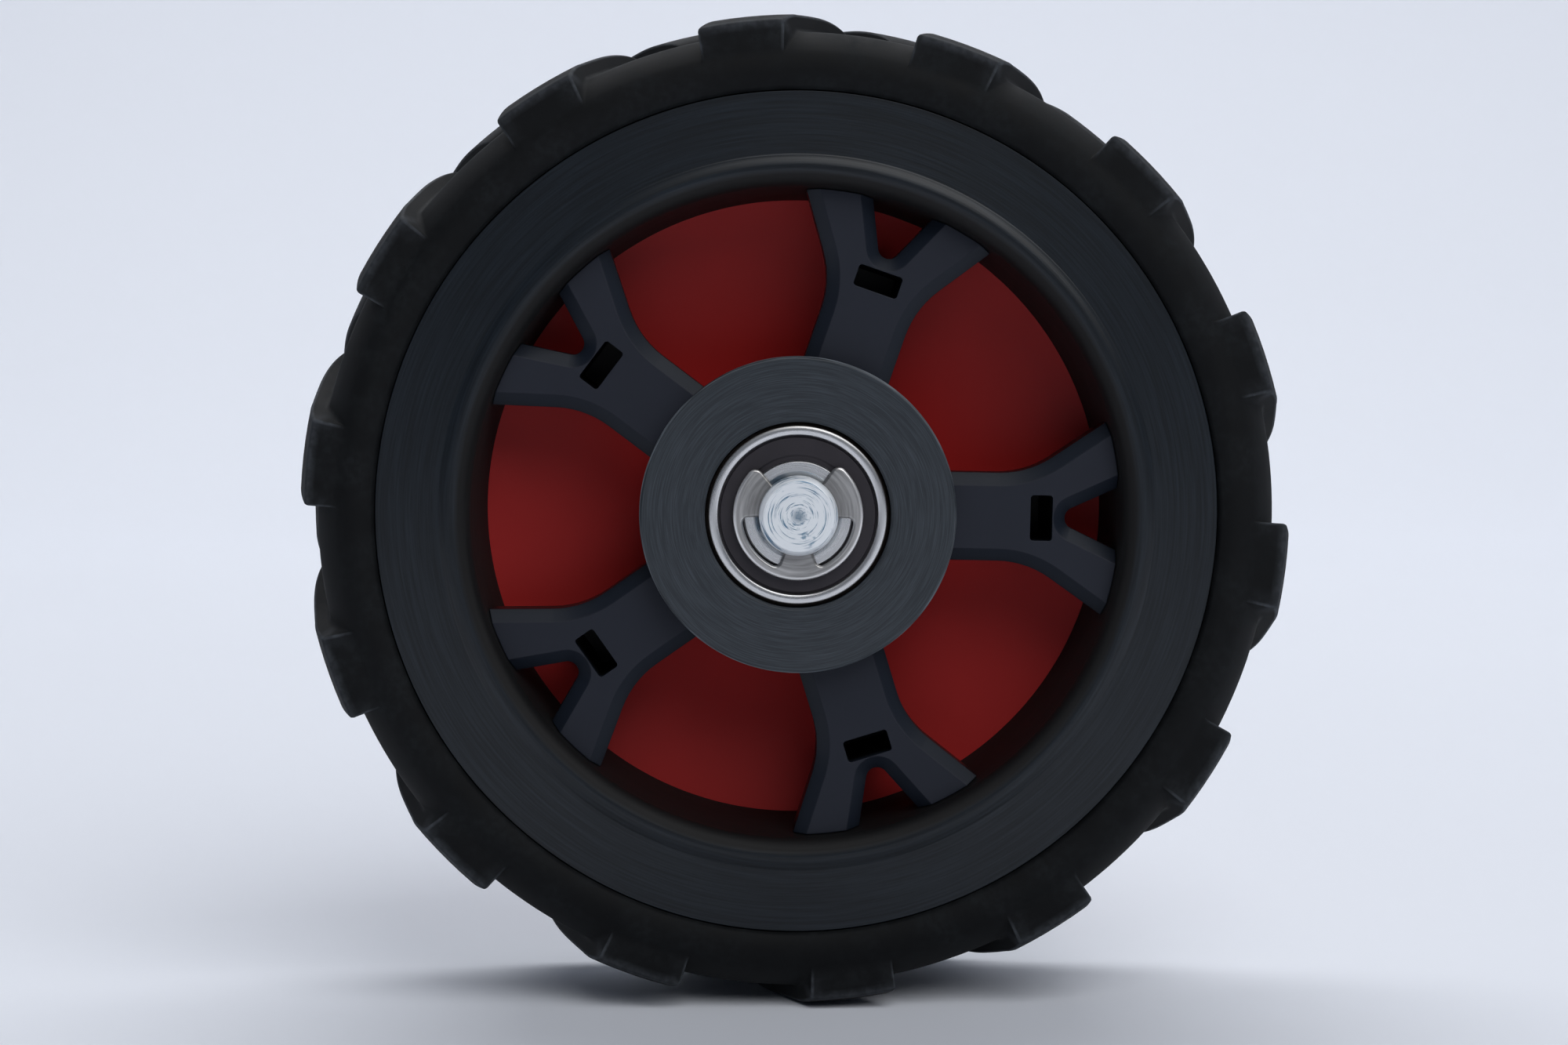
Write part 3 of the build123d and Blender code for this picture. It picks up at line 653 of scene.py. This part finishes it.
def lead_line(y):
    """Clockwise turn of a near lug's leading wall at a place along the axle. Past the lug's nose the
    line turns back, along the far lugs' walls."""
    ahead = np.minimum(y, lug_past_middle) + half_width
    past = np.maximum(y - lug_past_middle, 0)
    return lug_swing * (ahead - past) / half_width


def lug_width(y):
    """Turn that a near lug covers at a place along the axle, even from its foot to its nose."""
    share = (np.minimum(y, lug_past_middle) - lug_foot_place) / (lug_past_middle - lug_foot_place)
    return lug_foot_span + (lug_nose_span - lug_foot_span) * share


def tread():
    """Tire's surface. A point is carcass + height * (envelope - carcass), where the height is that of
    its column times sqrt(1 - (1 - n)^2), a quarter round in which n goes from 0 at the lug's nose to
    1 where the nose begins. The point's turn is that of the lug edges on each side of it, taken at
    its own place along the axle. With it goes the share of painted highlight there: all of it where
    a wall turns over into the lug's face, and most of it at the lug's corner."""
    carcass, envelope = tire_rows()
    first, second, first_past, second_past, share, up = lug_columns()
    first, second = first.astype(int), second.astype(int)
    far = np.arange(len(up)) >= len(up) // 2
    nose = np.where(far, envelope[:, 1:], -envelope[:, 1:]) + lug_past_middle
    nose = np.sqrt(1 - (1 - np.clip(nose / lug_nose, 0, 1)) ** 2)
    height = up * nose
    stands = np.linalg.norm(envelope - carcass, axis=1, keepdims=True)
    off_corner = np.hypot(envelope[:, :1] - lug_corner[0], np.abs(envelope[:, 1:]) + lug_corner[1])
    edge = np.clip(2 - np.abs(up - highlight_middle) / highlight_band, 0, 1) * (share == 0)
    corner = highlight_corner * up * np.clip(highlight_reach - off_corner, 0, 1)
    painted_highlight = nose * np.clip(stands / highlight_stand, 0, 1) * np.maximum(edge, corner)
    r, y = (carcass[:, i:i + 1] + height * (envelope - carcass)[:, i:i + 1] for i in (0, 1))
    edges = np.stack((
        lead_line(y),
        lead_line(y) + lug_width(y),
        pitch / 2 + lead_line(-y),
        pitch / 2 + lead_line(-y) + lug_width(-y),
        pitch + lead_line(y),
    ))
    column = np.arange(len(up))
    from_first = edges[first, :, column].T + np.degrees(first_past / r)
    from_second = edges[second, :, column].T + np.degrees(second_past / r)
    clockwise = from_first + share * (from_second - from_first)
    turns = clockwise[:, None, :] + pitch * np.arange(lug_count)[None, :, None]
    turns = np.radians(lug_lead - turns.reshape(len(r), -1))
    r, y, painted_highlight = (np.tile(one, lug_count) for one in (r, y, painted_highlight))
    return np.stack((r * np.cos(turns), y, r * np.sin(turns)), axis=-1) * mm, painted_highlight


tire_skin, painted_highlight = tread()
tire = skin("tire", tire_skin)
tire.data.attributes.new("painted_highlight", "FLOAT", "POINT").data.foreach_set("value", painted_highlight.ravel())

black_rubber, tree, shader = finish("black_rubber", Specular_IOR_Level=0.16)
skin_noise = moulded_skin(tree, grain=0.35, mottle=9.0)
bloom = span(tree, skin_noise["Mottle"], 0, 1, start=0.40, stop=0.66)
fleck = moulded_skin(tree, grain=0.6, mottle=1.6)["Mottle"]
fleck = span(tree, fleck, 0.25, 1, start=0.40, stop=0.62)
bloom = times(tree, bloom, fleck)
bloom_and_highlight = blend(tree, bloom, (0.0028, 0.0034, 0.0041, 1), (0.0095, 0.0112, 0.0125, 1))
# Painted highlight: lighter colour along the lugs' wall tops and corners, broken up by flecks
painted_highlight = node(tree, "Attribute", attribute_name="painted_highlight").outputs["Fac"]
painted_highlight = times(tree, painted_highlight, span(tree, fleck, 0.35, 0.9))
bloom_and_highlight = blend(tree, painted_highlight, bloom_and_highlight, (0.062, 0.069, 0.079, 1))
tree.links.new(bloom_and_highlight, shader.inputs["Base Color"])
tree.links.new(span(tree, bloom, 0.66, 0.80), shader.inputs["Roughness"])
raise_by(tree, shader, skin_noise["Grain"], distance=0.03, strength=0.5)
tire.data.materials.append(black_rubber)
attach(tire, "wheel")
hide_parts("tire")

# Spoke cover: one blue-grey moulding, a ring with five Y-shaped spokes, bevelled along their edges.
# Its pegs, cored out through the slots, key it in the disc, and the hub's flange holds it down.
spoke_face, spoke_edge = hub_flange_back, 0.3
spoke_plastic, tree, shader = finish("spoke_plastic", Specular_IOR_Level=0.28)
skin_noise = moulded_skin(tree, grain=0.45, mottle=14.0)
place = node(tree, "TexCoord").outputs["Object"]
along_axle = node(tree, "SeparateXYZ", {"Vector": place}).outputs["Y"]
depth = node(tree, "Math", {0: along_axle, 1: spoke_face * mm}, operation="SUBTRACT").outputs[0]
grain_and_shade = blend(
    tree, skin_noise["Mottle"], (0.0105, 0.0130, 0.0215, 1), (0.0140, 0.0170, 0.0275, 1))
# The face is grained and the sides are polished. Deeper than 1.2 mm behind the face, in the slots and
# hollows and on the arms' sides, the colour is painted shade, near black by 4.5 mm
sides = span(tree, depth, 0, 1, start=0.05 * mm, stop=0.3 * mm)
grain_and_shade = blend(tree, sides, grain_and_shade, (0.0085, 0.0122, 0.0205, 1))
painted_shade_deep = span(tree, depth, 0, 1, start=1.2 * mm, stop=4.5 * mm)
grain_and_shade = blend(tree, painted_shade_deep, grain_and_shade, (0.0010, 0.0012, 0.0018, 1))
face_rough = span(tree, skin_noise["Grain"], 0.46, 0.60)
side_rough = span(tree, skin_noise["Grain"], 0.34, 0.44)
rough = node(tree, "Mix", {0: sides, 2: face_rough, 3: side_rough}).outputs[0]
edge = node(tree, "Bevel", {"Radius": spoke_edge * mm}, samples=4).outputs[0]
bump = {"Height": skin_noise["Grain"], "Distance": 0.02 * mm, "Strength": 0.4, "Normal": edge}
bump = node(tree, "Bump", bump).outputs[0]
tree.links.new(grain_and_shade, shader.inputs["Base Color"])
tree.links.new(rough, shader.inputs["Roughness"])
tree.links.new(bump, shader.inputs["Normal"])
dress(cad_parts["spoke_cover"], spoke_plastic)

# Floor and backdrop: one sheet of pale paper that lies under the tire, bends up behind it and hangs
# from above, as in a photographer's studio.
sweep_half, sweep_front, sweep_bend, sweep_radius, sweep_top = 2.0, -3.0, 1.4, 1.0, 2.6
floor_z = cad_box[0][2]
bend = np.linspace(0, np.pi / 2, 17)
sweep_back = sweep_bend + sweep_radius
sweep_y = np.concatenate(([sweep_front], sweep_bend + sweep_radius * np.sin(bend), [sweep_back]))
sweep_z = np.concatenate(([0.0], sweep_radius * (1 - np.cos(bend)), [sweep_top])) + floor_z
ends = np.array((-sweep_half, sweep_half))
points = np.broadcast_arrays(ends[None, :], sweep_y[:, None], sweep_z[:, None])
points = np.stack(points, axis=-1).reshape(-1, 3)
faces = np.arange(len(sweep_y) - 1)[:, None] * 2 + np.array((0, 1, 3, 2))
mesh = bpy.data.meshes.new("floor")
mesh.from_pydata(points.tolist(), [], faces.tolist())
mesh.shade_smooth()
floor = bpy.data.objects.new("floor", mesh)
bpy.context.scene.collection.objects.link(floor)

pale_paper, tree, shader = finish("pale_paper", Roughness=0.8, Specular_IOR_Level=0.1)
place = node(tree, "TexCoord").outputs["Object"]
drift = node(tree, "TexNoise", {"Scale": 1.5, "Vector": place}).outputs[0]
paper = blend(tree, drift, (0.83, 0.86, 0.93, 1), (0.86, 0.89, 0.96, 1))
tree.links.new(paper, shader.inputs["Base Color"])
mesh.materials.append(pale_paper)

# Lamps: two soft boxes, a square one in front and above, to the right, and a long one that hangs
# over the paper behind the wheel and keeps the backdrop bright.


def softbox(name, place, aim, width, height, power):
    """Rectangular soft lamp at a place, turned towards its aim, in metres and watts."""
    lamp = bpy.data.lights.new(name, "AREA")
    lamp.shape, lamp.size, lamp.size_y, lamp.energy = "RECTANGLE", width, height, power
    holder = bpy.data.objects.new(name, lamp)
    holder.location = place
    holder.rotation_euler = (Vector(aim) - Vector(place)).to_track_quat("-Z", "Y").to_euler()
    bpy.context.scene.collection.objects.link(holder)


softbox("key_light", place=(0.8, -1.7, 1.9), aim=(0, 0, 0), width=2.2, height=2.2, power=40.0)
softbox("top_light", place=(0.0, 1.3, 2.9), aim=(0, 1.3, 0), width=4.0, height=1.2, power=62.0)

# World: a dim room in front, so that the dark pieces stay dark. The camera, and the reflections that
# look back past the wheel, see it as pale as the paper.
world = bpy.data.worlds.new("studio")
bpy.context.scene.world = world
world.use_nodes = True
tree = world.node_tree
path = node(tree, "LightPath").outputs
direction = node(tree, "TexCoord").outputs["Generated"]
direction = node(tree, "SeparateXYZ", {"Vector": direction}).outputs["Y"]
behind = span(tree, direction, 0, 1, start=-0.4, stop=0.3)
seen = times(tree, path["Is Glossy Ray"], behind)
for ray in ("Is Camera Ray", "Is Transmission Ray"):
    seen = node(tree, "Math", {0: seen, 1: path[ray]}, operation="MAXIMUM").outputs[0]
surround = blend(tree, seen, (0.06, 0.07, 0.09, 1), (0.70, 0.73, 0.82, 1))
tree.links.new(surround, tree.nodes["Background"].inputs["Color"])

# Camera: a little to the left of the axle and above it, as in the photo, and far enough away for a
# lens that gives the photo's scale on the wheel's face.
photo_width, pixels_per_mm = 2000, 5.95
distance, sensor, wheel_face = 650.0, 36.0, -29.0
view_aim = Vector((-3.0, wheel_face, -1.6)) * mm
view_place = Vector((-20.4, wheel_face - distance, 40.8)) * mm
lens = bpy.data.cameras.new("view")
lens.sensor_width = sensor
lens.lens = pixels_per_mm * distance / photo_width * sensor
camera = bpy.data.objects.new("view", lens)
camera.location = view_place
camera.rotation_euler = (view_aim - view_place).to_track_quat("-Z", "Y").to_euler()
bpy.context.scene.collection.objects.link(camera)
bpy.context.scene.camera = camera
bpy.context.scene.view_settings.view_transform = "Standard"
